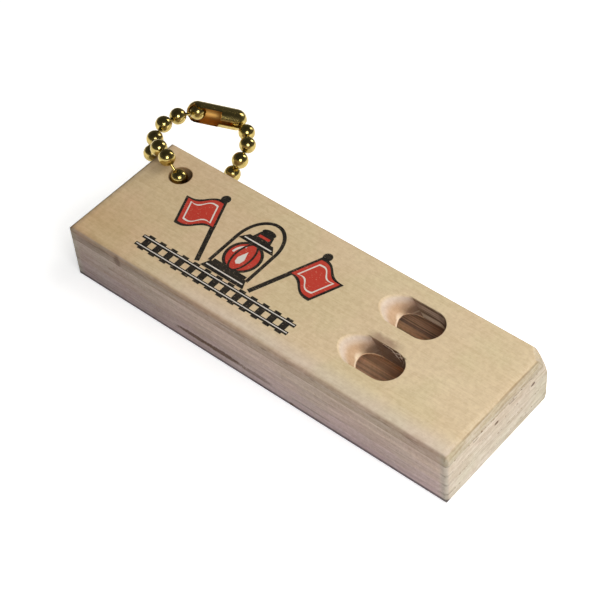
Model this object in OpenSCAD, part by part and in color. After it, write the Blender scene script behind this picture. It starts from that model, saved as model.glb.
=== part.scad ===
// Two-note train whistle: a plywood block with two stopped pipes, on a brass ball chain.
// Millimetres. X runs along the block to the mouth end, Y from the front side to the back, Z up.
// The origin is the middle of the front side.

/* [Block] */
// Length of the block
block_len = 83.1; // [76:0.1:96]
// Width of the block
block_w = 27.2; // [25:0.1:32]
// Thickness of one veneer
ply_t = 2.4; // [2.2:0.05:3]
// Radius of the block's corners in plan
corner_r = 0.6; // [0.4:0.1:2]
// Easing of the long edges
long_edge_r = 0.7; // [0.4:0.1:1.2]
// Easing of the end edges
end_edge_r = 0.6; // [0.3:0.1:1.2]
// Rounding of the top edge along the back
back_edge_r = 1.5; // [0.7:0.1:2]
// Rounding of the top edge at the mouth end
mouth_edge_r = 1.5; // [0.6:0.1:2]
// Rounding of the bottom edge at the mouth end
mouth_low_edge_r = 1; // [0.6:0.1:2]
// Curve of the worn back corner at the mouth end, seen from the side
worn_corner_r = 12; // [10:0.5:16]
// How far below the middle that corner is at its fullest
worn_corner_drop = 1.5; // [0.5:0.1:2]

/* [Pipes] */
// Diameter of each pipe's bore
bore_d = 8.2; // [7.8:0.1:8.6]
// Distance between the two bores
bore_pitch = 10.8; // [8.5:0.1:12]
// How far the pair of bores sits behind the middle of the block
bore_offset = 0.8; // [0:0.1:1.5]
// Wood left between the windows and the mouth end
mouth_land = 16; // [12:0.1:18]
// Length of each window at the top face
window_len = 12.7; // [11:0.1:15]
// Width of each window
window_w = 6.8; // [6:0.1:7.4]
// From the window's tip to the sounding lip, along the block
lip_run = 4.1; // [3.8:0.1:4.6]
// Slope of the steep end that ends in the lip
ramp_angle = 55; // [48:1:60]
// Radius of the round cutter that makes the steep end
ramp_r = 8; // [6:0.5:10]
// Slope of the shallow ramp that leads to it
lead_angle = 24; // [20:1:26]
// Radius of the round cutter that makes the shallow ramp
lead_r = 5; // [4.5:0.1:6]
// Width of the slit that the breath goes through
windway_w = 5; // [3.5:0.1:5.4]
// Height of that slit, cut in the top veneer over the glue line
windway_h = 0.4; // [0.3:0.05:0.8]
// Length of the stopper in the low pipe
low_stopper_len = 16; // [12:0.5:20]
// Length of the stopper in the high pipe
high_stopper_len = 24; // [20:0.5:28]
// Glue gap round a stopper
stopper_gap = 0.03; // [0.01:0.01:0.1]

/* [Chain hole] */
// Diameter of the hole for the chain
hole_d = 4.3; // [4.2:0.1:4.8]
// From the chain end to the middle of the hole
hole_from_end = 7.2; // [6.6:0.1:8]
// From the back side to the middle of the hole
hole_from_back = 5.9; // [5:0.1:6.5]

/* [Ball chain] */
// Diameter of a bead
bead_d = 3.2; // [3:0.05:3.3]
// Wall of a hollow bead
bead_wall = 0.3; // [0.2:0.05:0.3]
// Diameter of the hole at each end of a bead
bead_hole_d = 0.9; // [0.85:0.05:1]
// Diameter of a link pin's neck
pin_d = 0.6; // [0.5:0.05:0.65]
// Diameter of a link pin's heads
pin_head_d = 1; // [0.95:0.05:1.05]
// From a bead's middle to the middle of a pin's head inside it
pin_head_at = 0.65; // [0.6:0.01:0.68]

/* [Connector] */
// Wall of the connector
connector_wall = 0.3; // [0.2:0.05:0.4]
// Room between the connector and the beads in it
connector_gap = 0.15; // [0.1:0.05:0.3]
// Width of the slit that the end pin swings in
connector_slit_w = 0.95; // [0.9:0.05:1.2]
// Share of the connector's length that is open on one side
connector_open_share = 0.55; // [0.5:0.05:0.6]

/* [Hidden] */
$fn = 64;
PLY_COUNT = 5;
WINDWAY_PLY = 0;
BEAD_COUNT = 19;
HOLE_BEADS = 2;
OVERCUT = 1;

block_t = ply_t * PLY_COUNT;
top_z = block_t / 2;
chain_end_x = -block_len / 2;
mouth_x = block_len / 2;

bore_r = bore_d / 2;
window_r = window_w / 2;
bore_ys = [block_w / 2 + bore_offset + bore_pitch / 2, block_w / 2 + bore_offset - bore_pitch / 2];
stopper_lens = [low_stopper_len, high_stopper_len];
window_right_x = mouth_x - mouth_land;
window_left_x = window_right_x - window_len;

hole_x = chain_end_x + hole_from_end;
hole_y = block_w - hole_from_back;

bead_r = bead_d / 2;

// Places on the chain's route, counted in bead diameters from the block's own faces and hole
function past_end(n) = chain_end_x - n * bead_d;
function beside_hole(n) = hole_x + n * bead_d;
function behind(n) = block_w + n * bead_d;
function off_hole(n) = hole_y + n * bead_d;
function over(n) = top_z + n * bead_d;
function under(n) = -top_z - n * bead_d;

// The chain leaves the top of the hole, swings round behind the block and comes back up from below
upper_run = [
    [past_end(1.39), behind(3.362), over(-0.94)],
    [past_end(1.79), behind(2.143), over(-0.62)],
    [past_end(1.84), behind(1.012), over(-0.44)],
    [past_end(1.47), behind(-0.127), over(-0.53)],
    [past_end(0.73), behind(-1.137), over(-0.47)],
    [past_end(-0.15), behind(-1.308), over(0.55)],
    [beside_hole(-1.08), off_hole(0.14), over(0.69)],
    [beside_hole(-0.12), off_hole(-0.03), over(-0.19)]
];
lower_run = [
    [beside_hole(0), off_hole(0.09), under(0.22)],
    [beside_hole(0.03), off_hole(1.03), under(0.94)],
    [beside_hole(0.06), behind(0.373), under(0.84)],
    [beside_hole(0), behind(1.312), under(0.19)],
    [beside_hole(-0.11), behind(2.192), under(-0.69)],
    [beside_hole(0.17), behind(2.672), under(-1.56)],
    [beside_hole(-0.12), behind(3.692), over(-1.91)],
    [beside_hole(-0.94), behind(4.532), over(-2)],
    [past_end(-0.16), behind(4.902), over(-1.88)]
];
hole_top_z = upper_run[len(upper_run) - 1].z;
hole_step = (hole_top_z - lower_run[0].z) / (HOLE_BEADS + 1);
hole_run = [for (i = [1:HOLE_BEADS]) [hole_x, hole_y, hole_top_z - i * hole_step]];
beads = concat(upper_run, hole_run, lower_run);

function unit(v) = v / norm(v);
function pin_axis(i) = unit(beads[i + 1] - beads[i]);

// The connector holds the first bead in its open end and the last one in its slit end
clasp_start = beads[0];
clasp_end = beads[BEAD_COUNT - 1];
clasp_len = norm(clasp_end - clasp_start);
clasp_axis = unit(clasp_end - clasp_start);
end_pin_axis = -pin_axis(BEAD_COUNT - 2);
clasp_open_side = unit(end_pin_axis - clasp_axis * (end_pin_axis * clasp_axis));
clasp_r = bead_r + connector_gap;
clasp_open_len = clasp_len * connector_open_share;

function two_digits(i) = str(i < 9 ? "0" : "", i + 1);
function ply_name(i) = str("veneer_", i + 1);
function stopper_name(i) = i == 0 ? "low_stopper" : "high_stopper";
function bead_name(i) = str("bead_", two_digits(i));
function pin_name(i) = str("link_pin_", two_digits(i));

// Turns +Z to a direction
module along(v) {
    rotate([0, acos(v.z / norm(v)), atan2(v.y, v.x)]) children();
}

// A rectangle with four radii, counted from the origin's corner along X and on round
module rounded_rectangle(size, r) {
    half = size / 2;
    translate([0, r[0]]) square([half.x, size.y - r[0] - r[3]]);
    translate([half.x, r[1]]) square([half.x, size.y - r[1] - r[2]]);
    translate([r[0], 0]) square([size.x - r[0] - r[1], half.y]);
    translate([r[3], half.y]) square([size.x - r[3] - r[2], half.y]);
    translate([r[0], r[0]]) circle(r[0]);
    translate([size.x - r[1], r[1]]) circle(r[1]);
    translate([size.x - r[2], size.y - r[2]]) circle(r[2]);
    translate([r[3], size.y - r[3]]) circle(r[3]);
}

// One veneer's slab with the block's plan
module ply_slab(i) {
    translate([chain_end_x, 0, top_z - (i + 1) * ply_t])
        linear_extrude(ply_t) rounded_rectangle([block_len, block_w], [for (i = [1:4]) corner_r]);
}

// The block's cross-section and side view, which ease its outer edges
module eased_edges() {
    section_radii = [long_edge_r, long_edge_r, back_edge_r, long_edge_r];
    side_radii = [end_edge_r, mouth_low_edge_r, mouth_edge_r, end_edge_r];
    intersection() {
        translate([chain_end_x - OVERCUT, 0, -top_z]) rotate([90, 0, 90])
            linear_extrude(block_len + 2 * OVERCUT) rounded_rectangle([block_w, block_t], section_radii);
        translate([chain_end_x, block_w + OVERCUT, -top_z]) rotate([90, 0, 0])
            linear_extrude(block_w + 2 * OVERCUT) rounded_rectangle([block_len, block_t], side_radii);
    }
}

// All but what is worn off the back corner at the mouth end
module worn_corner() {
    reach = block_len + block_w;
    translate([mouth_x, block_w, -worn_corner_drop]) rotate([0, 0, 45]) translate([-worn_corner_r, 0, 0]) {
        rotate([90, 0, 0]) cylinder(r = worn_corner_r, h = 2 * reach, center = true);
        translate([-reach, -reach, -block_t]) cube([reach, 2 * reach, 2 * block_t]);
    }
}

module chain_hole() {
    translate([hole_x, hole_y, -top_z - OVERCUT]) cylinder(d = hole_d, h = block_t + 2 * OVERCUT);
}

// A bore from the chain end to the window's far end
module bore(y) {
    translate([chain_end_x - OVERCUT, y, 0]) rotate([0, 90, 0])
        cylinder(r = bore_r, h = window_right_x - chain_end_x + OVERCUT);
}

// The window's plan: a slot with round ends
module window_plan() {
    tips = [window_left_x + window_r, window_right_x - window_r];
    translate([tips[0], -window_r]) square([tips[1] - tips[0], window_w]);
    for (x = tips) translate([x, 0]) circle(window_r);
}

// A round-bottomed trough that slopes down to the right, with its floor through one point
module trough(r, angle, floor_x, floor_z) {
    translate([floor_x, 0, floor_z]) rotate([0, 90 + angle, 0]) translate([-r, 0, -window_len])
        cylinder(r = r, h = 3 * window_len);
}

module window(y) {
    translate([0, y, 0]) intersection() {
        linear_extrude(top_z + OVERCUT) window_plan();
        union() {
            trough(lead_r, lead_angle, window_left_x, top_z);
            trough(ramp_r, ramp_angle, window_left_x + lip_run, bore_r);
        }
    }
}

// The slit that leads the breath from the mouth end to the window, at the level of the lip
module windway(y) {
    translate([window_right_x - window_r, y - windway_w / 2, top_z - ply_t - OVERCUT])
        cube([mouth_land + window_r + OVERCUT, windway_w, windway_h + OVERCUT]);
}

module whistle_cuts() {
    chain_hole();
    for (y = bore_ys) {
        bore(y);
        window(y);
    }
}

module veneer(i) {
    outer = i == 0 || i == PLY_COUNT - 1;
    color(outer ? "burlywood" : i % 2 == 1 ? "tan" : "wheat") difference() {
        if (outer) {
            intersection() {
                ply_slab(i);
                eased_edges();
                worn_corner();
            }
        } else {
            intersection() {
                ply_slab(i);
                worn_corner();
            }
        }
        whistle_cuts();
        if (i == WINDWAY_PLY) for (y = bore_ys) windway(y);
    }
}

// A dowel that closes the pipe at the chain end
module stopper(i) {
    color("peru") difference() {
        translate([chain_end_x, bore_ys[i], 0]) rotate([0, 90, 0])
            cylinder(r = bore_r - stopper_gap, h = stopper_lens[i]);
        chain_hole();
    }
}

// A hollow bead with a hole where each pin leaves it. Its poles lie square to a pin, clear of the holes.
module chain_bead(i) {
    color("gold") translate(beads[i]) difference() {
        along(pin_axis(min(i, BEAD_COUNT - 2))) rotate([90, 0, 0]) difference() {
            sphere(bead_r);
            sphere(bead_r - bead_wall);
        }
        if (i > 0) along(-pin_axis(i - 1)) cylinder(d = bead_hole_d, h = bead_d);
        if (i < BEAD_COUNT - 1) along(pin_axis(i)) cylinder(d = bead_hole_d, h = bead_d);
    }
}

// A link pin: a neck between two beads with a round head inside each
module link_pin(i) {
    pitch = norm(beads[i + 1] - beads[i]);
    color("goldenrod") translate(beads[i]) along(pin_axis(i)) {
        translate([0, 0, pin_head_at]) cylinder(d = pin_d, h = pitch - 2 * pin_head_at);
        for (z = [pin_head_at, pitch - pin_head_at]) translate([0, 0, z]) sphere(d = pin_head_d);
    }
}

module capsule(r) {
    cylinder(r = r, h = clasp_len);
    for (z = [0, clasp_len]) translate([0, 0, z]) sphere(r);
}

// Puts local +Z along the connector and local +X towards its open side
module at_clasp() {
    z = clasp_axis;
    x = clasp_open_side;
    y = cross(z, x);
    multmatrix([
        [x.x, y.x, z.x, clasp_start.x],
        [x.y, y.y, z.y, clasp_start.y],
        [x.z, y.z, z.z, clasp_start.z],
        [0, 0, 0, 1]
    ]) children();
}

// A rolled brass sleeve: one bead leaves it sideways, the other turns in its slit end
module connector() {
    outer_r = clasp_r + connector_wall;
    color("darkgoldenrod") at_clasp() difference() {
        capsule(outer_r);
        capsule(clasp_r);
        translate([0, -clasp_r, -2 * outer_r])
            cube([2 * outer_r, 2 * clasp_r, clasp_open_len + 2 * outer_r]);
        translate([-connector_slit_w / 2, -connector_slit_w / 2, clasp_open_len - OVERCUT])
            cube([2 * outer_r, connector_slit_w, clasp_len + 2 * outer_r]);
    }
}

for (i = [0:PLY_COUNT - 1]) veneer(i);
for (i = [0:1]) stopper(i);
for (i = [0:BEAD_COUNT - 1]) chain_bead(i);
for (i = [0:BEAD_COUNT - 2]) link_pin(i);
connector();
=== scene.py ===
"""Looks of a plywood train whistle on a ball chain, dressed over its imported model."""

import math

import bmesh
import bpy
from bpy.props import FloatProperty, FloatVectorProperty, PointerProperty
from bpy.types import Operator, Panel, PropertyGroup
from mathutils import Matrix, Vector


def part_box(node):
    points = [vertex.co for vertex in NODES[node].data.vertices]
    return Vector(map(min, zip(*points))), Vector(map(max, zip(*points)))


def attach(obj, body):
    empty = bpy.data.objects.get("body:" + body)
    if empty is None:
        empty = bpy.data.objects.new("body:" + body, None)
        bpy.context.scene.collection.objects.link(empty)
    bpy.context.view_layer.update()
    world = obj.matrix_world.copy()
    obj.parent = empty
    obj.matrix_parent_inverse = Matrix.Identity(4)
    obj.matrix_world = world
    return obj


bl_info = {
    "name": "Train whistle",
    "version": (1, 0, 0),
    "blender": (4, 5, 0),
    "location": "View3D > Sidebar > Whistle",
    "description": "Dresses a plywood whistle, its print and its ball chain",
    "category": "Object",
}

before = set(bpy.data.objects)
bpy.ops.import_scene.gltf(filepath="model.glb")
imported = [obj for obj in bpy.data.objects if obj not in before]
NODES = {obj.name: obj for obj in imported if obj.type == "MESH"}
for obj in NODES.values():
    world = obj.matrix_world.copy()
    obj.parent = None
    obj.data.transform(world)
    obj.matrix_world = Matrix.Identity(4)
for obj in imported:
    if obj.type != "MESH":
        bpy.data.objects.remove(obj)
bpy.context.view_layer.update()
MM = 0.001
FULL_TURN = 2 * math.pi

VENEERS = ["veneer_1", "veneer_2", "veneer_3", "veneer_4", "veneer_5"]
CROSS_VENEERS = ["veneer_2", "veneer_4"]
STOPPERS = ["low_stopper", "high_stopper"]
BEADS = sorted(name for name in NODES if name.startswith("bead_"))
PINS = sorted(name for name in NODES if name.startswith("link_pin_"))


def box_mm(name):
    """Low and high corner of a CAD node, in millimetres."""
    return [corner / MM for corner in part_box(name)]


CHAIN_END, MOUTH_END = [corner.x for corner in box_mm("veneer_1")]
FIRST_GLUE, TOP = [corner.z for corner in box_mm("veneer_1")]
WIDTH = box_mm("veneer_1")[1].y


def colour(name, description, default):
    """A colour that a user can change."""
    return FloatVectorProperty(name=name, description=description, default=default, subtype="COLOR",
                               min=0, max=1)


def length(name, description, default):
    """A length that a user can change, given in millimetres and kept in metres."""
    return FloatProperty(name=name, description=description, default=default * MM, unit="LENGTH", precision=5)


def angle(name, description, degrees):
    """An angle that a user can change, given in degrees and kept in radians."""
    return FloatProperty(name=name, description=description, default=math.radians(degrees), subtype="ANGLE")


def power(name, description, watts):
    """The power of a lamp, which a user can change."""
    return FloatProperty(name=name, description=description, default=watts, subtype="POWER")


def number(name, description, default, **limits):
    """A plain number that a user can change."""
    return FloatProperty(name=name, description=description, default=default, min=0, **limits)


class WoodLooks(PropertyGroup):
    """Colours and cuts of the plywood block."""

    birch: colour("Birch", "Top face at the mouth end", (0.77, 0.625, 0.42))
    darker_birch: colour("Darker birch", "Top face at the chain end, darkened by painted shade", (0.73, 0.56, 0.36))
    streak: colour("Streak", "Darker fibres of the birch", (0.52, 0.39, 0.25))
    side: colour("Long side", "Sawn and handled long side", (0.775, 0.64, 0.575))
    end: colour("End face", "Sawn mouth end", (0.80, 0.73, 0.62))
    edge: colour("Rounded edge", "Painted shade on the rounded edge along the top face", (0.50, 0.33, 0.20))
    cut: colour("Cut wood", "Ramp of the windows", (0.62, 0.42, 0.27))
    rim: colour("Ramp's rim", "Pale wood: painted light on the ramp's shallow start, painted glints on the second veneer, and bare fibres", (0.76, 0.64, 0.54))
    lip: colour("Lip", "Painted highlight along the sounding lip", (0.90, 0.74, 0.56))
    shade: colour("Ramp's far side", "Painted shade where the ramp meets its far wall", (0.36, 0.235, 0.17))
    wall: colour("Window wall", "Sawn walls of the windows in painted shade", (0.30, 0.19, 0.13))
    rear_wall: colour("Rear wall", "Far wall of the rear window, painted lit", (0.74, 0.55, 0.43))
    cross_ply: colour("Cross ply", "Pale second veneer in the rear window's far wall", (0.97, 0.82, 0.65))
    bore: colour("Bored wood", "Walls of the rear pipe", (0.78, 0.48, 0.30))
    tan: colour("Lower bore", "Paler wood low in the rear pipe", (0.95, 0.56, 0.32))
    front_bore: colour("Front bore", "Walls of the front pipe", (0.99, 0.59, 0.35))
    front_low: colour("Front low", "Paler wood low in the front pipe", (1.0, 0.66, 0.43))
    hole: colour("Chain hole", "Painted shade on the wall of the chain hole", (0.46, 0.30, 0.16))
    scorch: colour("Scorched wood", "Streaks that the drill left in the pipes", (0.30, 0.195, 0.15))
    wear_and_sheen: colour("Sheen along the front", "Top face greyed by a painted sheen along the front edge", (0.73, 0.62, 0.53))
    glue: colour("Glue line", "Line between two veneers", (0.28, 0.19, 0.12))
    flaw_and_shadow: colour("Flaw and shadow", "Gap and knots in the veneers, and painted shadow below the windows' far rims", (0.11, 0.055, 0.03))
    window_start: length("Window start", "Where the windows begin along the block", 12.85)
    window_length: length("Window length", "Length of the windows", 12.7)
    window_width: length("Window width", "Width of the windows", 6.8)
    hole_x: length("Hole along", "Middle of the chain hole along the block", -34.35)
    hole_y: length("Hole across", "Middle of the chain hole across the block", 21.3)
    hole_width: length("Hole width", "Diameter of the chain hole", 4.3)


class PrintLooks(PropertyGroup):
    """Ink colours and place of the printed signals."""

    black: colour("Black ink", "Outlines, rails and lantern", (0.012, 0.011, 0.011))
    red: colour("Red ink", "Lamp glass and flags", (0.52, 0.045, 0.03))
    white: colour("White ink", "Borders and highlights", (0.72, 0.68, 0.62))
    centre_x: length("Centre along", "Middle of the print along the block", -12.0)
    centre_y: length("Centre across", "Middle of the print across the block", 13.1)
    size: number("Size", "Size of the print against its drawing", 0.92)
    ink: length("Ink height", "Height of the first layer of ink", 0.012)


class BrassLooks(PropertyGroup):
    """Colours and finish of the chain."""

    brass: colour("Brass", "Polished brass", (0.64, 0.49, 0.165))
    tarnish: colour("Tarnish", "Dulled brass", (0.34, 0.245, 0.075))
    inside: colour("Inside", "Dull inside of the connector", (0.80, 0.46, 0.13))
    shine: number("Roughness", "Roughness of the polished brass", 0.13, max=1)


class StageLooks(PropertyGroup):
    """Camera, floor and light."""

    aim: FloatVectorProperty(name="Aim", description="Point on the top face that the camera looks at",
                             default=(0.00219, 0.01143, 0.006), subtype="XYZ", unit="LENGTH")
    distance: length("Distance", "Camera to the aim", 296.8)
    azimuth: angle("Azimuth", "Camera round the object", 44.7)
    elevation: angle("Elevation", "Camera above the block's plane", 47.88)
    roll: angle("Roll", "Camera about its own axis", -5.736)
    lens: number("Lens", "Focal length in millimetres on a 36 mm sensor", 106.88)
    floor: colour("Floor", "White table", (0.80, 0.80, 0.80))
    window: power("Window light", "Power of the soft light behind the block", 1.42)
    flash: power("Flash", "Power of the light at the camera", 0.43)
    card: power("Card", "Power of the soft light beyond the mouth end", 0.9)
    strip: power("Strip", "Power of the small light behind, seen in the brass", 0.42)
    sky: number("Sky", "Strength of the light from all round", 0.10)


class Board:
    """Lays shader nodes in one tree and wires each as it is placed."""

    def __init__(self, tree):
        self.tree = tree

    def feed(self, socket, value):
        """Links a socket to another one, or gives it a plain value."""
        if isinstance(value, bpy.types.NodeSocket):
            self.tree.links.new(value, socket)
        else:
            socket.default_value = value

    def put(self, kind, inputs=None, **settings):
        node = self.tree.nodes.new(kind)
        for name, value in settings.items():
            setattr(node, name, value)
        for name, value in (inputs or {}).items():
            self.feed(node.inputs[name], value)
        return node

    def math(self, operation, a, b=0.0, clamp=False):
        return self.put("ShaderNodeMath", {0: a, 1: b}, operation=operation, use_clamp=clamp).outputs[0]

    def product(self, first, *others):
        """Masks and shares multiplied together."""
        for other in others:
            first = self.math("MULTIPLY", first, other)
        return first

    def lift(self, value, gain, base):
        """A value times a gain, on top of a base."""
        return self.math("ADD", self.math("MULTIPLY", value, gain), base)

    def vector(self, operation, a, b, output=0):
        return self.put("ShaderNodeVectorMath", {0: a, 1: b}, operation=operation).outputs[output]

    def scaled(self, place, scale):
        return self.put("ShaderNodeVectorMath", {0: place, "Scale": scale}, operation="SCALE").outputs[0]

    def fade(self, value, start, stop):
        """0 before start, 1 after stop, smooth between; start may be the larger."""
        inputs = {"Value": value, "From Min": start, "From Max": stop}
        return self.put("ShaderNodeMapRange", inputs, interpolation_type="SMOOTHSTEP").outputs[0]

    def near(self, value, centre, outer, inner):
        """1 closer than inner to a centre, 0 farther than outer."""
        return self.fade(self.math("ABSOLUTE", self.math("SUBTRACT", value, centre)), outer, inner)

    def mix(self, mask, a, b, strength=None, blend="MIX"):
        """Colour a turned into colour b where a mask says, and only as far as a strength."""
        node = self.put("ShaderNodeMix", data_type="RGBA", blend_type=blend)
        self.feed(node.inputs[0], mask if strength is None else self.product(mask, strength))
        for index, tone in ((6, a), (7, b)):
            self.feed(node.inputs[index], tone if isinstance(tone, bpy.types.NodeSocket) else (*tone, 1))
        return node.outputs[2]

    def stain(self, mask, tone, tint, strength=None):
        """A tone multiplied by a tint where a mask says."""
        return self.mix(mask, tone, tint, strength, "MULTIPLY")

    def noise(self, place, scale, detail=2.0, roughness=0.5, stretch=None):
        if stretch:
            place = self.vector("MULTIPLY", place, stretch)
        inputs = {"Vector": place, "Scale": scale, "Detail": detail, "Roughness": roughness}
        return self.put("ShaderNodeTexNoise", inputs).outputs[0]

    def length(self, a, b):
        return self.math("SQRT", self.math("ADD", self.math("POWER", a, 2), self.math("POWER", b, 2)))

    def split(self, place):
        return self.put("ShaderNodeSeparateXYZ", {0: place}).outputs

    def millimetres(self):
        """The surface point in millimetres, in the frame of the part."""
        return self.scaled(self.put("ShaderNodeTexCoord").outputs["Object"], 1 / MM)

    def group(self, tree, **inputs):
        node = self.put("ShaderNodeGroup", node_tree=tree)
        for name, value in inputs.items():
            self.feed(node.inputs[name], value)
        return node.outputs

    def bump(self, strength, depth, height, **inputs):
        """A normal raised by a height; the depth is in millimetres."""
        inputs.update(Strength=strength, Distance=depth * MM, Height=height)
        return self.put("ShaderNodeBump", inputs).outputs[0]

    def wire(self, node, **sockets):
        """Leads sockets into the named inputs of a node; _ stands for a space."""
        for name, socket in sockets.items():
            self.tree.links.new(socket, node.inputs[name.replace("_", " ")])


def new_group(name, inputs, outputs):
    """A shader group, its board and its input and output nodes."""
    tree = bpy.data.node_groups.new(name, "ShaderNodeTree")
    for label in inputs:
        tree.interface.new_socket(label, in_out="INPUT", socket_type="NodeSocketVector")
    for label in outputs:
        tree.interface.new_socket(label, in_out="OUTPUT", socket_type="NodeSocketFloat")
    board = Board(tree)
    return tree, board, board.put("NodeGroupInput").outputs, board.put("NodeGroupOutput")


def grain_group():
    """Fibres, broad figure and pores of birch; the fibres run along the place's x."""
    if "Birch grain" in bpy.data.node_groups:
        return bpy.data.node_groups["Birch grain"]
    tree, board, given, made = new_group("Birch grain", ["Place"], ["Fibre", "Figure", "Pores"])
    place = given["Place"]
    coarse = board.noise(place, 2.6, 4, 0.62, stretch=(0.05, 1, 1))
    fine = board.noise(place, 9.0, 2, 0.6, stretch=(0.11, 1, 1))
    fibre = board.math("ADD", board.product(coarse, 0.6), board.product(fine, 0.4))
    figure = board.noise(place, 0.75, 2, stretch=(0.04, 0.3, 0.3))
    pores = board.noise(place, 6.0, 1, stretch=(0.3, 1, 1))
    board.wire(made, Fibre=board.fade(fibre, 0.36, 0.64), Figure=board.fade(figure, 0.3, 0.7),
               Pores=board.fade(pores, 0.63, 0.75))
    return tree


def sawn_group():
    """Soft bands, fine grain and broken lines of a sawn edge; its length runs along the place's x."""
    if "Sawn edge" in bpy.data.node_groups:
        return bpy.data.node_groups["Sawn edge"]
    tree, board, given, made = new_group("Sawn edge", ["Place"], ["Bands", "Grain", "Breaks"])
    place = given["Place"]
    bands = board.noise(place, 0.95, 3, 0.6, stretch=(0.035, 1, 1))
    grain = board.noise(place, 4.2, 4, 0.68, stretch=(0.07, 1, 1))
    breaks = board.noise(place, 1.5, 3, 0.6, stretch=(0.13, 1, 1))
    board.wire(made, Bands=board.fade(bands, 0.36, 0.64), Grain=board.fade(grain, 0.36, 0.66),
               Breaks=board.fade(breaks, 0.48, 0.62))
    return tree


def window_ends(wood):
    """Where the windows start and stop along the block, in millimetres."""
    return wood.window_start / MM, (wood.window_start + wood.window_length) / MM


def cuts_group(wood):
    """Masks of the bored pipes, the cut windows and the chain hole, with margins in millimetres; several mark
    where light and shade are painted.
    """
    if "Tool cuts" in bpy.data.node_groups:
        return bpy.data.node_groups["Tool cuts"]
    masks = ["Bore", "Scorch", "Window", "Shade", "Deep", "Smudge", "Wall", "Rim", "Lip", "Hole"]
    tree, board, given, made = new_group("Tool cuts", ["Place"], masks)
    place = given["Place"]
    x, y, z = board.split(place)
    start, stop = window_ends(wood)
    window_r, hole_r = wood.window_width / 2 / MM, wood.hole_width / 2 / MM
    (rear_low, rear_high), (front_low, front_high) = [box_mm(name) for name in STOPPERS]
    bore_r = (rear_high.y - rear_low.y) / 2
    between = (rear_low.y + front_high.y) / 2
    from_rear = board.math("SUBTRACT", y, (rear_low.y + rear_high.y) / 2)
    from_front = board.math("SUBTRACT", y, (front_low.y + front_high.y) / 2)
    rear = board.fade(y, between - 0.05, between + 0.05)
    in_front = board.math("SUBTRACT", 1, rear)
    # How far a point lies behind, beside and away from the axis of its own pipe
    beyond = board.math("ADD", from_front, board.product(rear, board.math("SUBTRACT", from_rear, from_front)))
    aside = board.math("MINIMUM", board.math("ABSOLUTE", from_rear), board.math("ABSOLUTE", from_front))
    reach = board.length(aside, z)

    bore = board.product(board.fade(reach, bore_r + 0.16, bore_r + 0.08),
                         board.fade(x, stop + 0.2, stop + 0.1))
    drilled = board.noise(place, 1.15, 3, 0.65, stretch=(0.02, 1, 1))
    along = board.product(board.fade(x, start - 0.2, start - 0.05), board.fade(x, stop + 0.2, stop + 0.05))
    inside = board.product(along, board.fade(aside, window_r + 0.2, window_r + 0.1))
    below = board.product(inside, board.fade(z, TOP - 0.01, TOP - 0.4),
                          board.fade(z, -bore_r - 0.8, -bore_r - 0.3))
    # A darker, ragged band of the top face beyond the far rim of the front window
    rim_reach = board.math("ADD", beyond, board.product(board.noise(place, 1.3, 3), 1.2))
    rim_darkening = board.product(board.near(rim_reach, window_r + 1.0, 1.7, 0.2), in_front, board.fade(z, 0, TOP / 2),
                           board.fade(x, start + 2.2, start + 5.0), board.fade(x, start + 10.5, start + 7.5))
    from_hole = board.length(board.math("SUBTRACT", x, wood.hole_x / MM),
                             board.math("SUBTRACT", y, wood.hole_y / MM))
    board.wire(
        made,
        Bore=bore,
        Scorch=board.fade(drilled, 0.38, 0.62),
        Window=board.product(below, board.math("SUBTRACT", 1, bore)),
        # Painted shade on the ramp's far side
        Shade=board.product(board.fade(beyond, 0.0, 3.2), board.fade(x, start + 1.4, start + 5.2)),
        # Painted shadow below the far rim
        Deep=board.product(board.fade(z, TOP - 0.8, TOP - 1.8), board.fade(beyond, 0.3, 1.9)),
        Smudge=rim_darkening,
        # Where the walls turn from the painted shade at their start to their own painted tone
        Wall=board.fade(x, start + 3.0, start + 8.0),
        # Painted light on the ramp's shallow start
        Rim=board.fade(z, TOP - 1.15, TOP - 0.3),
        # Painted highlight along the lip
        Lip=board.product(board.fade(reach, bore_r + 0.55, bore_r + 0.3), board.fade(beyond, 1.2, -0.6)),
        # Painted shade in the chain hole
        Hole=board.fade(from_hole, hole_r + 0.14, hole_r + 0.04),
    )
    return tree


def speck_group():
    """A soft-edged flaw about a centre, with a ragged rim."""
    if "Speck" in bpy.data.node_groups:
        return bpy.data.node_groups["Speck"]
    tree, board, given, made = new_group("Speck", ["Place", "Centre", "Reach"], ["Mask"])
    apart = board.vector("DIVIDE", board.vector("SUBTRACT", given["Place"], given["Centre"]), given["Reach"])
    size = board.put("ShaderNodeVectorMath", {0: apart}, operation="LENGTH").outputs["Value"]
    ragged = board.product(board.noise(given["Place"], 2.2, 3), 0.9)
    board.wire(made, Mask=board.fade(board.math("ADD", size, ragged), 1.6, 1.05))
    return tree


def polish_group():
    """Dulled patches and fine rubs of handled metal."""
    if "Handled metal" in bpy.data.node_groups:
        return bpy.data.node_groups["Handled metal"]
    tree, board, given, made = new_group("Handled metal", ["Place"], ["Dull", "Rubs"])
    dull = board.noise(given["Place"], 0.9, 3, 0.55)
    rubs = board.noise(given["Place"], 14.0, 2, 0.6, stretch=(1, 0.25, 1))
    board.wire(made, Dull=board.fade(dull, 0.38, 0.7), Rubs=board.fade(rubs, 0.35, 0.75))
    return tree


def new_material(name):
    """A material with its board and its empty Principled shader."""
    material = bpy.data.materials.new(name)
    material.use_nodes = True
    return material, Board(material.node_tree), material.node_tree.nodes["Principled BSDF"]


def dress(node, material):
    """Gives a CAD node its finish through its material slots."""
    mesh = NODES[node].data
    mesh.materials.clear()
    mesh.materials.append(material)


def add_to_block(scene, name, shape, material):
    """Makes a thin piece that rides on the block."""
    mesh = bpy.data.meshes.new(name)
    shape.to_mesh(mesh)
    shape.free()
    mesh.materials.append(material)
    piece = bpy.data.objects.new(name, mesh)
    scene.collection.objects.link(piece)
    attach(piece, "block")


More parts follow.
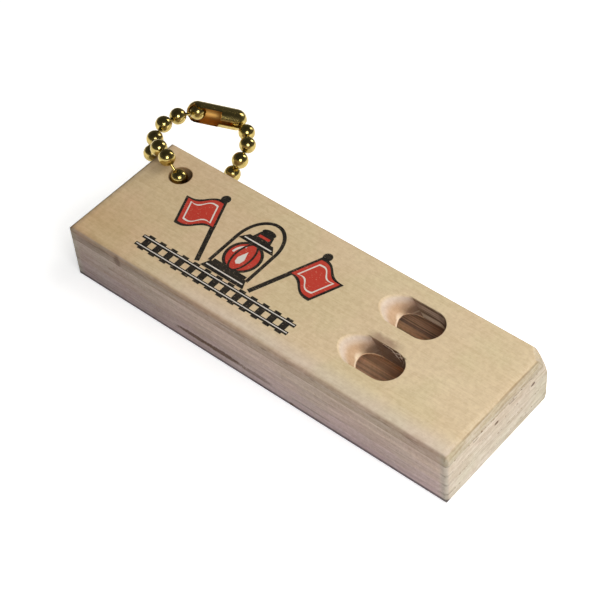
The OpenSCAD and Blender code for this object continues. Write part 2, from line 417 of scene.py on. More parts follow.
# Flaws in each veneer: where, how far they reach, how strong they are
FLAWS = {
    "veneer_1": [((-29.8, 0, 4.6), (0.85, 1.0, 1.4), 0.5), ((20.8, 12.3, 5.6), (2.2, 0.22, 0.5), 0.85),
                 ((23.6, 11.9, 5.6), (1.3, 0.3, 0.5), 0.85), ((20.5, 23.1, 5.5), (4.0, 0.18, 0.4), 0.7)],
    "veneer_2": [((41.55, 12.85, 1.95), (1.0, 0.6, 0.36), 0.9), ((41.55, 22.8, 2.0), (1.0, 0.6, 0.36), 0.9),
                 ((41.55, 17.2, 3.3), (1.0, 1.2, 0.22), 0.6), ((41.55, 7.4, 3.2), (1.0, 0.8, 0.2), 0.5)],
    "veneer_4": [((-12.4, 0, -3.0), (5.2, 0.9, 0.58), 0.9), ((-6.2, 0, -2.95), (5.4, 0.9, 0.68), 0.9),
                 ((1.6, 0, -3.35), (3.8, 0.9, 0.85), 0.5), ((13.5, 0, -3.3), (5.0, 0.7, 0.25), 0.35)],
    "veneer_5": [((9.2, 0, -5.0), (0.6, 0.8, 0.3), 0.85), ((-24.0, 0, -4.4), (7.0, 0.7, 0.3), 0.3)],
}
# How deep a flaw is against the fibres and pores
FLAW_DEPTH = 4
SIDE_TINTS = {"veneer_1": (0.82, 0.79, 0.73), "veneer_2": (1.03, 1.02, 1.0), "veneer_3": (0.99, 0.97, 0.98),
              "veneer_4": (0.97, 0.95, 1.04), "veneer_5": (0.95, 0.93, 1.06)}
END_TINTS = {"veneer_1": (0.80, 0.77, 0.67), "veneer_2": (1.04, 1.02, 1.0), "veneer_3": (0.99, 0.98, 0.96),
             "veneer_4": (1.0, 1.0, 0.99), "veneer_5": (0.95, 0.95, 0.95)}
# Tints of the long side, of the mouth end with painted shade on its rounded top edge, of the top face and of
# the soiled lower edge with its painted contact shadow
SIDE_BANDS, SIDE_SAWN, SIDE_FLECKS = (0.66, 0.60, 0.58), (0.68, 0.64, 0.62), (0.70, 0.64, 0.62)
END_BANDS, END_SAWN, END_PALE = (0.76, 0.71, 0.64), (0.68, 0.63, 0.56), (0.92, 0.86, 0.78)
END_ARRIS_SHADE, END_SHADE = (0.66, 0.58, 0.47), (0.87, 0.87, 0.89)
GOLDEN, GREENISH = (0.93, 0.87, 0.80), (0.93, 1.0, 0.93)
SOIL_AND_SHADOW = (0.28, 0.27, 0.30)
# Each veneer takes its grain from another depth of the same noise
GRAIN_STEP = 17.0
# Moves the missing glue line of an outer face out of reach
NO_GLUE = 5
# Rounding in millimetres that the shading gives to every edge, and what the end corners add to it
EDGE_ROUNDING, CORNER_ROUNDING = 0.12, 0.8


def tinted(tone, tint, share=1.0):
    """A colour times a tint."""
    return tuple(a * b * share for a, b in zip(tone, tint))


class Spot:
    """Where a point of a veneer lies, in millimetres, and how its wood runs there."""

    def __init__(self, board, name):
        self.place = board.millimetres()
        self.x, self.y, self.z = board.split(self.place)
        across = board.put("ShaderNodeCombineXYZ", {0: self.y, 1: self.x, 2: self.z}).outputs[0]
        along = across if name in CROSS_VENEERS else self.place
        shifted = board.vector("ADD", along, (0, 0, GRAIN_STEP * VENEERS.index(name)))
        self.grain = board.group(grain_group(), Place=shifted)
        self.long_edge = board.group(sawn_group(), Place=self.place)
        self.end_edge = board.group(sawn_group(), Place=across)
        # How far in from the nearer long side, and how far past the nearer end: below 0 within the block
        self.inset = board.math("MINIMUM", self.y, board.math("SUBTRACT", WIDTH, self.y))
        self.from_end = board.math("SUBTRACT", board.math("ABSOLUTE", self.x), MOUTH_END)
        # 1 on a level face and 0 on an upright one
        normal = board.split(board.put("ShaderNodeNewGeometry").outputs["Normal"])
        self.slope = board.math("ABSOLUTE", normal[2])
        # Masks of the back half, the long sides, the ends with the worn corner, and the sides near the ends
        self.rear = board.fade(self.y, WIDTH / 2, WIDTH / 2 + 1.6)
        self.on_side = board.fade(self.inset, 0.6, 0.2)
        worn_corner = board.product(board.fade(self.slope, 0.75, 0.5), board.fade(self.from_end, -7, -6),
                                    board.fade(self.inset, 0.08, 0.3))
        self.end_face = board.math("MAXIMUM", board.fade(self.from_end, -0.66, -0.4), worn_corner)
        self.turning = board.product(self.on_side, board.fade(self.from_end, -2.2, -0.1))


def face_tone(board, spot, wood):
    """Top face: darker towards the chain end by painted shade, greyed along the front by a painted sheen,
    golden at the front corner.
    """
    # Painted shade: the top face darkens and browns from the mouth end towards the chain end
    face = board.mix(board.fade(spot.x, CHAIN_END, MOUTH_END - 12), wood.darker_birch, wood.birch)
    # Painted sheen: the top face greys along its front edge
    greyed = board.product(board.fade(spot.y, 4.6, 0.6), board.fade(spot.x, -34, 0))
    face = board.mix(greyed, face, wood.wear_and_sheen, strength=0.75)
    golden = board.product(board.fade(spot.x, -20, CHAIN_END), board.fade(spot.y, 18, 4))
    return board.stain(golden, face, GOLDEN)


def side_tone(board, spot, wood, name):
    """Sawn long side, darker towards the chain end by painted shade."""
    dark, pale = [tinted(wood.side, SIDE_TINTS[name], share) for share in (0.74, 1.0)]
    # Painted shade: the long side darkens towards the chain end
    side = board.mix(board.fade(spot.x, CHAIN_END - 4, 4), dark, pale)
    side = board.stain(spot.long_edge["Bands"], side, SIDE_BANDS, strength=0.55)
    side = board.stain(spot.long_edge["Grain"], side, SIDE_SAWN, strength=0.26)
    flecks = board.fade(board.noise(spot.place, 3.0, 4, 0.7, stretch=(0.5, 1, 1)), 0.40, 0.64)
    return board.stain(flecks, side, SIDE_FLECKS, strength=0.30)


def end_tone(board, spot, wood, name):
    """Sawn mouth end with its striped layers."""
    end = tinted(wood.end, END_TINTS[name], 1.08)
    end = board.stain(spot.end_edge["Bands"], end, END_BANDS, strength=0.55)
    end = board.stain(spot.end_edge["Grain"], end, END_SAWN, strength=0.65)
    return board.mix(spot.end_edge["Breaks"], end, END_PALE, strength=0.25)


def outer_tone(board, spot, wood, name):
    """Outside of the block: top face, sides, ends and the edges between them."""
    outer = board.mix(spot.on_side, face_tone(board, spot, wood), side_tone(board, spot, wood, name))
    outer = board.mix(spot.turning, outer, tinted(wood.end, END_TINTS[name], 0.8))
    sawn_end = board.product(spot.end_face, board.fade(spot.inset, 0.05, 0.9))
    outer = board.mix(sawn_end, outer, end_tone(board, spot, wood, name))
    # Painted shade on the rounded edge along the top face, uneven along it and stronger towards the chain end
    edge_shade = board.product(board.fade(spot.inset, 1.3, 0.3), board.fade(spot.z, TOP - 1.1, TOP - 0.4),
                            board.fade(spot.x, 55, -10), board.lift(spot.long_edge["Bands"], 0.5, 0.08))
    outer = board.mix(edge_shade, outer, wood.edge)
    torn = board.product(board.near(spot.z, TOP - 0.75, 0.45, 0.1), spot.on_side, spot.long_edge["Breaks"])
    outer = board.mix(torn, outer, wood.flaw_and_shadow, strength=0.45)
    # Painted shade along the rounded top edge of the ends, broken along it
    arris_shade = board.product(board.near(spot.from_end, -0.5, 0.22, 0.05),
                          board.fade(spot.z, TOP - 1.4, TOP - 0.8),
                          board.lift(spot.end_edge["Breaks"], 0.6, 0.35))
    outer = board.stain(arris_shade, outer, END_ARRIS_SHADE)
    return board.stain(board.fade(spot.from_end, -1.5, -0.8), outer, END_SHADE)


def wall_tone(board, spot, wood, cuts):
    """Upright walls of the windows: painted shade from their start on, deepening along the front window; the
    rear one's far wall is painted lit except close to its end, and shows the second veneer.
    """
    stop = window_ends(wood)[1]
    # Painted light on the rear window's walls, except close to their end
    lit = board.product(spot.rear, board.fade(spot.x, stop - 0.95, stop - 2.35))
    # Painted shade at the walls' start, turning to the shaded wall colour, or to the lit one in the rear
    # window
    wall = board.mix(cuts["Wall"], wood.shade, board.mix(lit, wood.wall, wood.rear_wall))
    wall = board.mix(spot.long_edge["Grain"], wall, wood.flaw_and_shadow, strength=0.45)
    far_wall = board.product(lit, cuts["Wall"])
    ply = board.product(board.near(spot.z, FIRST_GLUE - 0.55, 0.5, 0.2), far_wall,
                        board.lift(spot.long_edge["Breaks"], 0.45, 0.5))
    wall = board.mix(ply, wall, wood.cross_ply)
    wavering = board.math("SUBTRACT", spot.z, board.product(spot.long_edge["Bands"], 0.5))
    seam = board.product(board.near(wavering, FIRST_GLUE, 0.28, 0.1), far_wall)
    wall = board.mix(seam, wall, wood.flaw_and_shadow, strength=0.85)
    frayed = board.product(board.fade(spot.z, TOP - 1.0, TOP - 0.4), cuts["Wall"], spot.long_edge["Breaks"])
    return board.mix(frayed, wall, wood.flaw_and_shadow, strength=0.8)


def cut_tone(board, spot, wood, outer):
    """The outside with its windows, pipes and chain hole cut in."""
    cuts = board.group(cuts_group(wood), Place=spot.place)
    # Painted light on the ramp's shallow start, and a painted highlight along the lip
    ramp = board.mix(cuts["Lip"], board.mix(cuts["Rim"], wood.cut, wood.rim), wood.lip)
    ramp = board.mix(cuts["Shade"], ramp, wood.shade)
    # Painted shadow below the far rim, in the flaw colour
    ramp = board.mix(cuts["Deep"], ramp, wood.flaw_and_shadow, strength=0.75)
    upright = board.fade(spot.slope, 0.35, 0.1)
    window = board.mix(upright, ramp, wall_tone(board, spot, wood, cuts))
    front = board.mix(board.fade(spot.z, -1.2, -2.8), wood.front_bore, wood.front_low)
    back = board.mix(board.fade(spot.z, -1.5, -2.8), wood.bore, wood.tan)
    burnt = board.product(cuts["Scorch"], board.lift(spot.rear, 0.4, 0.6))
    pipe = board.mix(burnt, board.mix(spot.rear, front, back), wood.scorch)
    # The darker band beyond the front window's far rim
    tone = board.mix(cuts["Smudge"], outer, wood.shade, strength=0.75)
    tone = board.mix(cuts["Window"], tone, window)
    tone = board.mix(cuts["Bore"], tone, pipe)
    # Painted shade in the chain hole
    return board.mix(cuts["Hole"], tone, wood.hole)


def grown_tone(board, spot, wood, tone):
    """Fibres, mottling, figure, a greenish cast and pores of the birch."""
    mottle = board.fade(board.noise(spot.place, 1.1, 5, 0.65), 0.36, 0.66)
    cast = board.fade(board.noise(spot.place, 0.11, 2), 0.4, 0.65)
    tone = board.stain(spot.grain["Fibre"], tone, wood.streak, strength=0.17)
    tone = board.stain(mottle, tone, wood.streak, strength=0.19)
    tone = board.stain(spot.grain["Figure"], tone, wood.darker_birch, strength=0.12)
    tone = board.stain(cast, tone, GREENISH, strength=0.5)
    return board.stain(spot.grain["Pores"], tone, wood.streak, strength=0.16)


def glued_tone(board, spot, wood, name, tone):
    """Lines along the veneer's edges: a pale one of painted glints, a dark one of dirt and painted contact
    shadow, and the glue.
    """
    low, high = [corner.z for corner in box_mm(name)]
    if name == "veneer_2":
        # Painted glints along the top of the second veneer, on the outside only
        glints = board.product(board.fade(spot.z, high - 0.42, high - 0.3), spot.on_side,
                               board.lift(spot.long_edge["Breaks"], 0.5, 0.15))
        tone = board.mix(glints, tone, wood.rim)
    if name == "veneer_5":
        # Dirt and painted contact shadow along the lower edge of the long sides
        soil_and_shadow = board.product(board.fade(spot.z, low + 1.3, low + 0.95), board.fade(spot.inset, 1.1, 0.5))
        tone = board.stain(soil_and_shadow, tone, SOIL_AND_SHADOW)
    lower = low - NO_GLUE if name == VENEERS[-1] else low
    upper = high + NO_GLUE if name == VENEERS[0] else high
    above, below = board.math("SUBTRACT", spot.z, lower), board.math("SUBTRACT", upper, spot.z)
    from_glue = board.math("MINIMUM", above, below)
    wavy = board.math("ADD", from_glue, board.product(board.noise(spot.place, 0.8, 2), 0.1))
    outside = board.math("MAXIMUM", spot.on_side, board.math("MAXIMUM", spot.end_face, spot.turning))
    dots = board.fade(board.noise(spot.place, 1.7, 2, stretch=(0.1, 1, 0.3)), 0.54, 0.66)
    dotted = board.math("ADD", board.product(spot.end_face, board.fade(spot.inset, 0.8, 1.6), dots),
                        board.product(spot.on_side, spot.long_edge["Breaks"], 0.4))
    in_cuts = board.product(board.lift(spot.rear, 0.5, 0.35), board.math("SUBTRACT", 1, outside))
    firm = board.math("ADD", in_cuts, dotted, clamp=True)
    return board.mix(board.product(board.fade(wavy, 0.24, 0.08), firm), tone, wood.glue)


def veneer_material(name, wood):
    """Birch veneer: long or cross grain, sawn sides, cut windows, bored pipes and its flaws."""
    material, board, shader = new_material(name)
    spot = Spot(board, name)
    tone = cut_tone(board, spot, wood, outer_tone(board, spot, wood, name))
    tone = glued_tone(board, spot, wood, name, grown_tone(board, spot, wood, tone))
    height = board.math("SUBTRACT", board.product(spot.grain["Fibre"], -0.5), spot.grain["Pores"])
    for centre, reach, strength in FLAWS.get(name, []):
        mask = board.group(speck_group(), Place=spot.place, Centre=centre, Reach=reach)["Mask"]
        tone = board.mix(mask, tone, wood.flaw_and_shadow, strength)
        height = board.math("SUBTRACT", height, board.product(mask, FLAW_DEPTH))
    corner = board.product(board.fade(spot.inset, 2.0, 0.8), board.fade(spot.from_end, -2.0, -0.8))
    rounding = board.lift(corner, CORNER_ROUNDING * MM, EDGE_ROUNDING * MM)
    bevel = board.put("ShaderNodeBevel", {"Radius": rounding}, samples=4).outputs[0]
    board.wire(shader, Base_Color=tone, Roughness=board.fade(spot.grain["Fibre"], -1.2, 1.6),
               Normal=board.bump(0.35, 0.02, height, Normal=bevel))
    shader.inputs["Specular IOR Level"].default_value = 0.25
    return material


def stopper_material(wood):
    """Dowel wood with its fibres along the pipe."""
    material, board, shader = new_material("stopper_wood")
    grain = board.group(grain_group(), Place=board.millimetres())
    tone = board.mix(grain["Fibre"], wood.end, wood.streak, strength=0.6)
    tone = board.stain(grain["Pores"], tone, wood.streak, strength=0.5)
    board.wire(shader, Base_Color=tone, Roughness=board.fade(grain["Fibre"], -1.5, 1.5),
               Normal=board.bump(0.3, 0.02, grain["Fibre"]))
    return material


class WHISTLE_OT_block(Operator):
    """Gives the five veneers and the two stoppers their birch"""

    bl_idname = "whistle.block"
    bl_label = "Plywood block"

    def execute(self, context):
        wood = context.scene.whistle_wood
        for name in VENEERS:
            dress(name, veneer_material(name, wood))
        for name in STOPPERS:
            dress(name, stopper_material(wood))
        return {"FINISHED"}


# Torn fibres of the front window: root along and height, tip along, in from the wall and height
SPLINTERS = [(20.2, 5.75, 22.6, 0.35, 5.55), (21.0, 5.4, 23.2, 0.5, 5.0), (22.3, 5.9, 24.1, 0.4, 5.75),
             (23.5, 5.6, 22.0, 0.6, 5.2), (21.6, 5.0, 23.6, 0.3, 4.7), (19.0, 5.8, 20.9, 0.2, 5.7),
             (23.8, 5.3, 24.3, 0.9, 4.9), (22.8, 5.75, 21.0, 0.45, 5.5)]
# How deep a fibre's root sits in the wall, and the three corners of the root about its middle
ROOT_DEPTH = 0.05
ROOT_CORNERS = [Vector((0.02 * k, 0.1 * math.cos(2.1 * k), 0.11 * math.sin(2.1 * k))) for k in range(3)]


def splinter_material(wood):
    """Bare fibres of the cut wood."""
    material, board, shader = new_material("splinter_wood")
    grain = board.group(grain_group(), Place=board.millimetres())
    board.wire(shader, Base_Color=board.mix(grain["Fibre"], wood.rim, wood.cut),
               Roughness=board.fade(grain["Fibre"], -1.2, 1.6))
    return material


class WHISTLE_OT_splinters(Operator):
    """Raises a few torn fibres from the far wall of the front window"""

    bl_idname = "whistle.splinters"
    bl_label = "Torn fibres"

    def execute(self, context):
        wood = context.scene.whistle_wood
        radius, stop = wood.window_width / 2 / MM, window_ends(wood)[1]
        low, high = box_mm("high_stopper")

        def wall(x):
            """Far wall of the window at a place along it, round at its end."""
            return (low.y + high.y) / 2 + math.sqrt(radius ** 2 - max(0, x - stop + radius) ** 2)

        shape = bmesh.new()
        for root_x, root_z, tip_x, inward, tip_z in SPLINTERS:
            root = Vector((root_x, wall(root_x) + ROOT_DEPTH, root_z))
            tip = shape.verts.new(Vector((tip_x, wall(tip_x) - inward, tip_z)) * MM)
            ring = [shape.verts.new((root + corner) * MM) for corner in ROOT_CORNERS]
            for k, corner in enumerate(ring):
                shape.faces.new((corner, ring[(k + 1) % len(ring)], tip))
        bmesh.ops.recalc_face_normals(shape, faces=shape.faces)
        add_to_block(context.scene, "splinters", shape, splinter_material(wood))
        return {"FINISHED"}


def disc(x, y, rx, ry, start=0.0, sweep=FULL_TURN, count=48):
    """Corners of an ellipse, or of a slice of one."""
    turns = [start + sweep * i / count for i in range(count if sweep == FULL_TURN else count + 1)]
    return [(x + rx * math.cos(turn), y + ry * math.sin(turn)) for turn in turns]


def bar(start, stop, width):
    """Corners of a straight bar between two points."""
    start, stop = Vector(start), Vector(stop)
    run = stop - start
    aside = Vector((-run.y, run.x)).normalized() * width / 2
    return [tuple(corner) for corner in (start - aside, stop - aside, stop + aside, start + aside)]


def hoop(x, y, rx, ry, width, start, sweep, count=40):
    """Corners of a bent band."""
    outer = disc(x, y, rx + width / 2, ry + width / 2, start, sweep, count)
    inner = disc(x, y, rx - width / 2, ry - width / 2, start, sweep, count)
    return outer + inner[::-1]


# The flags: foot of the right pole, its lean, how long it is, and the cloth on it
POLE_FOOT, POLE_LEAN, POLE_LENGTH = (6.4, -5.9), (0.383, 0.924), 16.2
FLAG_LOW, FLAG_HIGH, FLAG_LENGTH, FLAG_SWAY, FLAG_STEPS = 8.9, 15.2, 7.2, 0.55, 24


def flag_pole(hand):
    """Foot and direction of a leaning pole; hand is -1 for the left one and 1 for the right one."""
    return Vector((POLE_FOOT[0] * hand, POLE_FOOT[1])), Vector((POLE_LEAN[0] * hand, POLE_LEAN[1]))


def signal_flag(hand, grow):
    """Corners of a waving flag on its pole; grow widens it for its outline."""
    foot, pole = flag_pole(hand)
    out = Vector((pole.y * hand, -POLE_LEAN[0]))

    def edge(height, share):
        sway = FLAG_SWAY * math.sin(FULL_TURN * share)
        return tuple(foot + pole * (height + sway) + out * (-grow + (FLAG_LENGTH + 2 * grow) * share))

    steps = [i / FLAG_STEPS for i in range(FLAG_STEPS + 1)]
    upper = [edge(FLAG_HIGH + grow, share) for share in steps]
    return upper + [edge(FLAG_LOW - grow, share) for share in reversed(steps)]


def track_layers():
    """Sleepers and two rails."""
    first, pitch, count, rails = -17.1, 2.85, 13, (-7.2, -9.4)
    sleepers = [first + pitch * i for i in range(count)]
    layers = [("black", bar((x, -10.2), (x, -6.3), 1.5)) for x in sleepers]
    layers += [("black", bar((-18.9, y), (18.9, y), 0.85)) for y in rails]
    return layers + [("white", bar((-18.7, y + 0.1), (18.7, y + 0.1), 0.2)) for y in rails]


def lantern_layers():
    """Handle, base, glass with its flame, and cap of the lantern."""
    return [
        ("black", hoop(0, 3.6, 4.6, 6.3, 0.75, 0, math.pi)),
        ("black", [(-5.3, -6.2), (5.3, -6.2), (4.4, -4.2), (-4.4, -4.2)]),
        ("white", bar((-4.5, -5.3), (4.5, -5.3), 0.25)),
        ("black", bar((-4.0, -3.9), (4.0, -3.9), 0.9)),
        ("black", disc(0, -0.1, 3.9, 4.0)),
        ("red", disc(0, -0.1, 3.25, 3.4)),
        ("white", hoop(0, -0.1, 2.5, 2.65, 0.5, math.radians(115), math.radians(65))),
        ("white", [(0, 1.5), (0.8, -0.6), (0.6, -1.7), (0, -2.1), (-0.6, -1.7), (-0.8, -0.6)]),
        ("black", [(-4.3, 3.4), (4.3, 3.4), (2.9, 5.2), (-2.9, 5.2)]),
        ("white", bar((-3.3, 4.15), (3.3, 4.15), 0.28)),
        ("black", [(-2.2, 5.1), (2.2, 5.1), (1.6, 7.0), (-1.6, 7.0)]),
        ("red", bar((-1.3, 6.0), (1.3, 6.0), 0.6)),
        ("black", disc(0, 7.4, 1.6, 0.8)),
    ]


def hand_layers(hand):
    """What stands on one hand: the handle's upright, the glass's guard, and the flag on its pole."""
    foot, pole = flag_pole(hand)
    return [
        ("black", bar((4.6 * hand, -4.4), (4.6 * hand, 3.7), 0.75)),
        ("black", hoop(0, -0.1, 1.75, 3.7, 0.45, -hand * math.pi / 2, math.pi)),
        ("black", bar(foot, foot + pole * POLE_LENGTH, 1.0)),
        ("black", disc(*(foot + pole * (POLE_LENGTH + 0.3)), 1.0, 1.0)),
        ("black", signal_flag(hand, 0.55)),
        ("red", signal_flag(hand, 0)),
        ("white", signal_flag(hand, -0.75)),
        ("red", signal_flag(hand, -1.05)),
    ]


def signal_drawing():
    """Ink layers from the lowest up as (colour, corners), in millimetres about the middle of the print."""
    return track_layers() + lantern_layers() + hand_layers(-1) + hand_layers(1)


def ink_material(name, ink, wood):
    """Ink soaked into birch: the pores and fibres show through it."""
    material, board, shader = new_material(name)
    grain = board.group(grain_group(), Place=board.millimetres())
    wear_and_sheen = board.math("ADD", board.product(grain["Fibre"], 0.04), board.product(grain["Pores"], 0.30))
    board.wire(shader, Base_Color=board.mix(wear_and_sheen, ink, wood.darker_birch),
               Roughness=board.fade(grain["Fibre"], -1.0, 1.8), Normal=board.bump(0.25, 0.02, grain["Fibre"]))
    shader.inputs["Specular IOR Level"].default_value = 0.15
    return material


class WHISTLE_OT_print(Operator):
    """Prints a signal lantern, two flags and a track on the top face"""

    bl_idname = "whistle.print"
    bl_label = "Printed signals"

    def execute(self, context):
        looks, wood = context.scene.whistle_print, context.scene.whistle_wood
        drawing, grow = signal_drawing(), looks.size * MM
        for ink in ("black", "red", "white"):
            shape = bmesh.new()
            for level, (name, corners) in enumerate(drawing):
                if name == ink:
                    height = TOP * MM + looks.ink * (1 + level / len(drawing))
                    shape.faces.new([
                        shape.verts.new((looks.centre_x + x * grow, looks.centre_y + y * grow, height))
                        for x, y in corners
                    ])
            shape.normal_update()
            for face in shape.faces:
                if face.normal.z < 0:
                    face.normal_flip()
            add_to_block(context.scene, f"{ink}_ink", shape,
                         ink_material(f"{ink}_ink", getattr(looks, ink), wood))
        return {"FINISHED"}


# The connector is dull nearer to its axis than the first of these and bright past the second
SLEEVE_DULL, SLEEVE_BRIGHT = 1.8, 1.88


def bead_middle(name):
    """Middle of a bead, in millimetres."""
    low, high = box_mm(name)
    return (low + high) / 2


def inside_sleeve(board, place):
    """Mask of the connector's inside, by the distance from the line between the two beads that it holds."""
    start, stop = bead_middle(BEADS[0]), bead_middle(BEADS[-1])
    run = (stop - start).normalized()
    apart = board.vector("SUBTRACT", place, tuple(start))
    along = board.vector("DOT_PRODUCT", apart, tuple(run), "Value")
    along = board.math("MINIMUM", board.math("MAXIMUM", along, 0), (stop - start).length)
    off_axis = board.vector("DISTANCE", apart, board.scaled(tuple(run), along), "Value")
    return board.fade(off_axis, SLEEVE_BRIGHT, SLEEVE_DULL)


def brass_material(name, brass, dulling=1.0, hollow=False):
    """Polished brass with dulled patches and fine rubs; a hollow sleeve is dull and orange inside."""
    material, board, shader = new_material(name)
    place = board.millimetres()
    finish = board.group(polish_group(), Place=place)
    tone = board.mix(finish["Dull"], brass.brass, brass.tarnish, strength=0.6 * dulling)
    dull = board.product(finish["Dull"], 0.10 * dulling)
    if hollow:
        inside = inside_sleeve(board, place)
        tone = board.mix(inside, tone, brass.inside)
        dull = board.math("ADD", dull, board.product(inside, 0.28))
    rough = board.math("ADD", dull, board.lift(finish["Rubs"], 0.06, brass.shine))
    board.wire(shader, Base_Color=tone, Roughness=rough, Normal=board.bump(0.015, 0.01, finish["Rubs"]))
    shader.inputs["Metallic"].default_value = 1
    return material


class WHISTLE_OT_chain(Operator):
    """Gives the beads and the link pins their brass"""

    bl_idname = "whistle.chain"
    bl_label = "Ball chain"

    def execute(self, context):
        brass = context.scene.whistle_brass
        bead, pin = brass_material("chain_brass", brass), brass_material("pin_brass", brass, 1.4)
        for name in BEADS:
            dress(name, bead)
        for name in PINS:
            dress(name, pin)
        return {"FINISHED"}


class WHISTLE_OT_connector(Operator):
    """Gives the connector its brass"""

    bl_idname = "whistle.connector"
    bl_label = "Connector"

    def execute(self, context):
        dress("connector", brass_material("connector_brass", context.scene.whistle_brass, hollow=True))
        return {"FINISHED"}


# Radius of the block's lower front edge that the table is set for
EDGE_R = 1.0 * MM
# Half the table's width in metres, and how strongly it glows
TABLE_REACH, TABLE_GLOW = 2.0, 0.6
# Width of the camera's sensor in millimetres, and the nearest thing that it shows, in metres
SENSOR, NEAREST = 36, 0.01
# Lamps: place, width and height, tint, whether the brass mirrors them
LAMPS = {
    "window": ((0.22, 0.27, 0.37), (0.40, 0.40), (1.0, 0.97, 0.92), False),
    "flash": ((0.185, -0.117, 0.228), (0.16, 0.16), (1.0, 1.0, 1.0), True),
    "card": ((0.46, -0.06, 0.26), (0.36, 0.36), (1.0, 0.98, 0.95), False),
    "strip": ((0.085, 0.46, 0.19), (0.13, 0.22), (1.0, 1.0, 0.94), True),
}
LAMP_AIM = Vector((0, 0.013, 0))
SKY_LOW, SKY_HIGH = (1.0, 1.0, 1.0), (0.40, 0.41, 0.43)


def floor_plane():
    """Slope of a table under the block's front edge and the lowest bead, and where it meets the edge."""
    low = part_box("veneer_5")[0]
    edge = Vector((low.y + EDGE_R, low.z + EDGE_R))
    bead_low, bead_high = min((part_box(name) for name in BEADS), key=lambda box: box[0].z)
    bead = (bead_low + bead_high).yz / 2
    bead_r = (bead_high.z - bead_low.z) / 2
    apart = bead - edge
    tilt = math.atan2(-apart.y, apart.x) + math.asin((bead_r - EDGE_R) / apart.length)
    down = Vector((-math.sin(tilt), -math.cos(tilt)))
    return tilt, edge + down * EDGE_R


def table_material(floor):
    """White table that glows for the camera and in the brass, and is clear from below."""
    material, board, shader = new_material("table_white")
    shader.inputs["Base Color"].default_value = (*floor, 1)
    shader.inputs["Roughness"].default_value = 0.8
    shader.inputs["Specular IOR Level"].default_value = 0.1
    path = board.put("ShaderNodeLightPath").outputs
    mirrored = board.math("MAXIMUM", path["Is Glossy Ray"], path["Is Transmission Ray"])
    seen = board.math("MAXIMUM", path["Is Camera Ray"], mirrored)
    inputs = {"Color": (1, 1, 1, 1), "Strength": board.product(seen, TABLE_GLOW)}
    glow = board.put("ShaderNodeEmission", inputs).outputs[0]
    both = board.put("ShaderNodeAddShader", {0: shader.outputs[0], 1: glow}).outputs[0]
    under = board.put("ShaderNodeNewGeometry").outputs["Backfacing"]
    clear = board.put("ShaderNodeBsdfTransparent").outputs[0]
    shown = board.put("ShaderNodeMixShader", {0: under, 1: both, 2: clear}).outputs[0]
    board.wire(board.tree.nodes["Material Output"], Surface=shown)
    return material


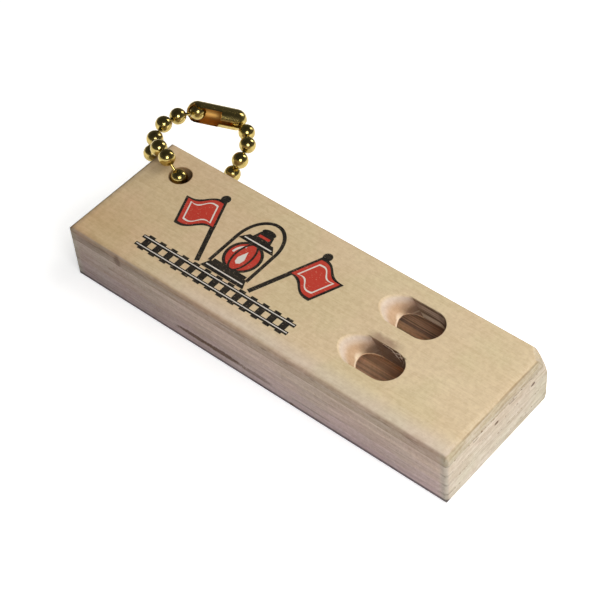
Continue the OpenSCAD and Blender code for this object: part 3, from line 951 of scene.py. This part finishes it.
class WHISTLE_OT_stage(Operator):
    """Sets the white table, the light and the camera"""

    bl_idname = "whistle.stage"
    bl_label = "Stage"

    def execute(self, context):
        scene, looks = context.scene, context.scene.whistle_stage
        scene.view_settings.view_transform = "Standard"
        self.table(scene, looks)
        self.sky(scene, looks)
        for name, (place, size, tint, mirrored) in LAMPS.items():
            self.lamp(scene, name, place, size, tint, mirrored, getattr(looks, name))
        self.camera(scene, looks)
        return {"FINISHED"}

    def table(self, scene, looks):
        shape = bmesh.new()
        bmesh.ops.create_grid(shape, x_segments=8, y_segments=8, size=TABLE_REACH)
        tilt, touch = floor_plane()
        place = Matrix.Translation((0, touch.x, touch.y)) @ Matrix.Rotation(-tilt, 4, "X")
        bmesh.ops.transform(shape, matrix=place, verts=shape.verts)
        mesh = bpy.data.meshes.new("table")
        shape.to_mesh(mesh)
        shape.free()
        mesh.materials.append(table_material(looks.floor))
        table = bpy.data.objects.new("table", mesh)
        scene.collection.objects.link(table)

    def sky(self, scene, looks):
        scene.world = bpy.data.worlds.new("studio")
        scene.world.use_nodes = True
        board = Board(scene.world.node_tree)
        background = board.tree.nodes["Background"]
        background.inputs["Strength"].default_value = looks.sky
        height = board.split(board.put("ShaderNodeTexCoord").outputs["Generated"])[2]
        board.wire(background, Color=board.mix(board.fade(height, 0.0, 0.9), SKY_LOW, SKY_HIGH))

    def lamp(self, scene, name, place, size, tint, mirrored, watts):
        lamp = bpy.data.lights.new(name, "AREA")
        lamp.shape, lamp.energy, lamp.color = "RECTANGLE", watts, tint
        lamp.size, lamp.size_y = size
        holder = bpy.data.objects.new(name, lamp)
        holder.visible_glossy = mirrored
        holder.location = place
        holder.rotation_mode = "QUATERNION"
        holder.rotation_quaternion = (LAMP_AIM - Vector(place)).to_track_quat("-Z", "Y")
        scene.collection.objects.link(holder)

    def camera(self, scene, looks):
        lens = bpy.data.cameras.new("camera")
        lens.lens, lens.sensor_width, lens.clip_start = looks.lens, SENSOR, NEAREST
        holder = bpy.data.objects.new("camera", lens)
        turn = (Matrix.Rotation(looks.azimuth, 4, "Z")
                @ Matrix.Rotation(math.pi / 2 - looks.elevation, 4, "X")
                @ Matrix.Rotation(looks.roll, 4, "Z"))
        away = Matrix.Translation((0, 0, looks.distance))
        holder.matrix_world = Matrix.Translation(looks.aim) @ turn @ away
        scene.collection.objects.link(holder)
        scene.camera = holder


class WHISTLE_PT_panel(Panel):
    """Lists the pieces of the whistle and their settings"""

    bl_label = "Train whistle"
    bl_space_type = "VIEW_3D"
    bl_region_type = "UI"
    bl_category = "Whistle"

    def draw(self, context):
        for operator in OPERATORS:
            self.layout.operator(operator.bl_idname)
        for group in SETTINGS:
            looks = getattr(context.scene, group)
            for name in looks.bl_rna.properties.keys():
                if name not in ("rna_type", "name"):
                    self.layout.prop(looks, name)


OPERATORS = (WHISTLE_OT_block, WHISTLE_OT_splinters, WHISTLE_OT_print, WHISTLE_OT_chain, WHISTLE_OT_connector,
             WHISTLE_OT_stage)
SETTINGS = {"whistle_wood": WoodLooks, "whistle_print": PrintLooks, "whistle_brass": BrassLooks,
            "whistle_stage": StageLooks}


def register():
    for cls in (*SETTINGS.values(), *OPERATORS, WHISTLE_PT_panel):
        bpy.utils.register_class(cls)
    for name, group in SETTINGS.items():
        setattr(bpy.types.Scene, name, PointerProperty(type=group))


def unregister():
    for name in SETTINGS:
        delattr(bpy.types.Scene, name)
    for cls in (WHISTLE_PT_panel, *reversed(OPERATORS), *reversed(SETTINGS.values())):
        bpy.utils.unregister_class(cls)


def main():
    """Dresses the whole whistle."""
    register()
    bpy.ops.whistle.block()
    bpy.ops.whistle.splinters()
    bpy.ops.whistle.print()
    bpy.ops.whistle.chain()
    bpy.ops.whistle.connector()
    bpy.ops.whistle.stage()


if __name__ == "__main__":
    main()
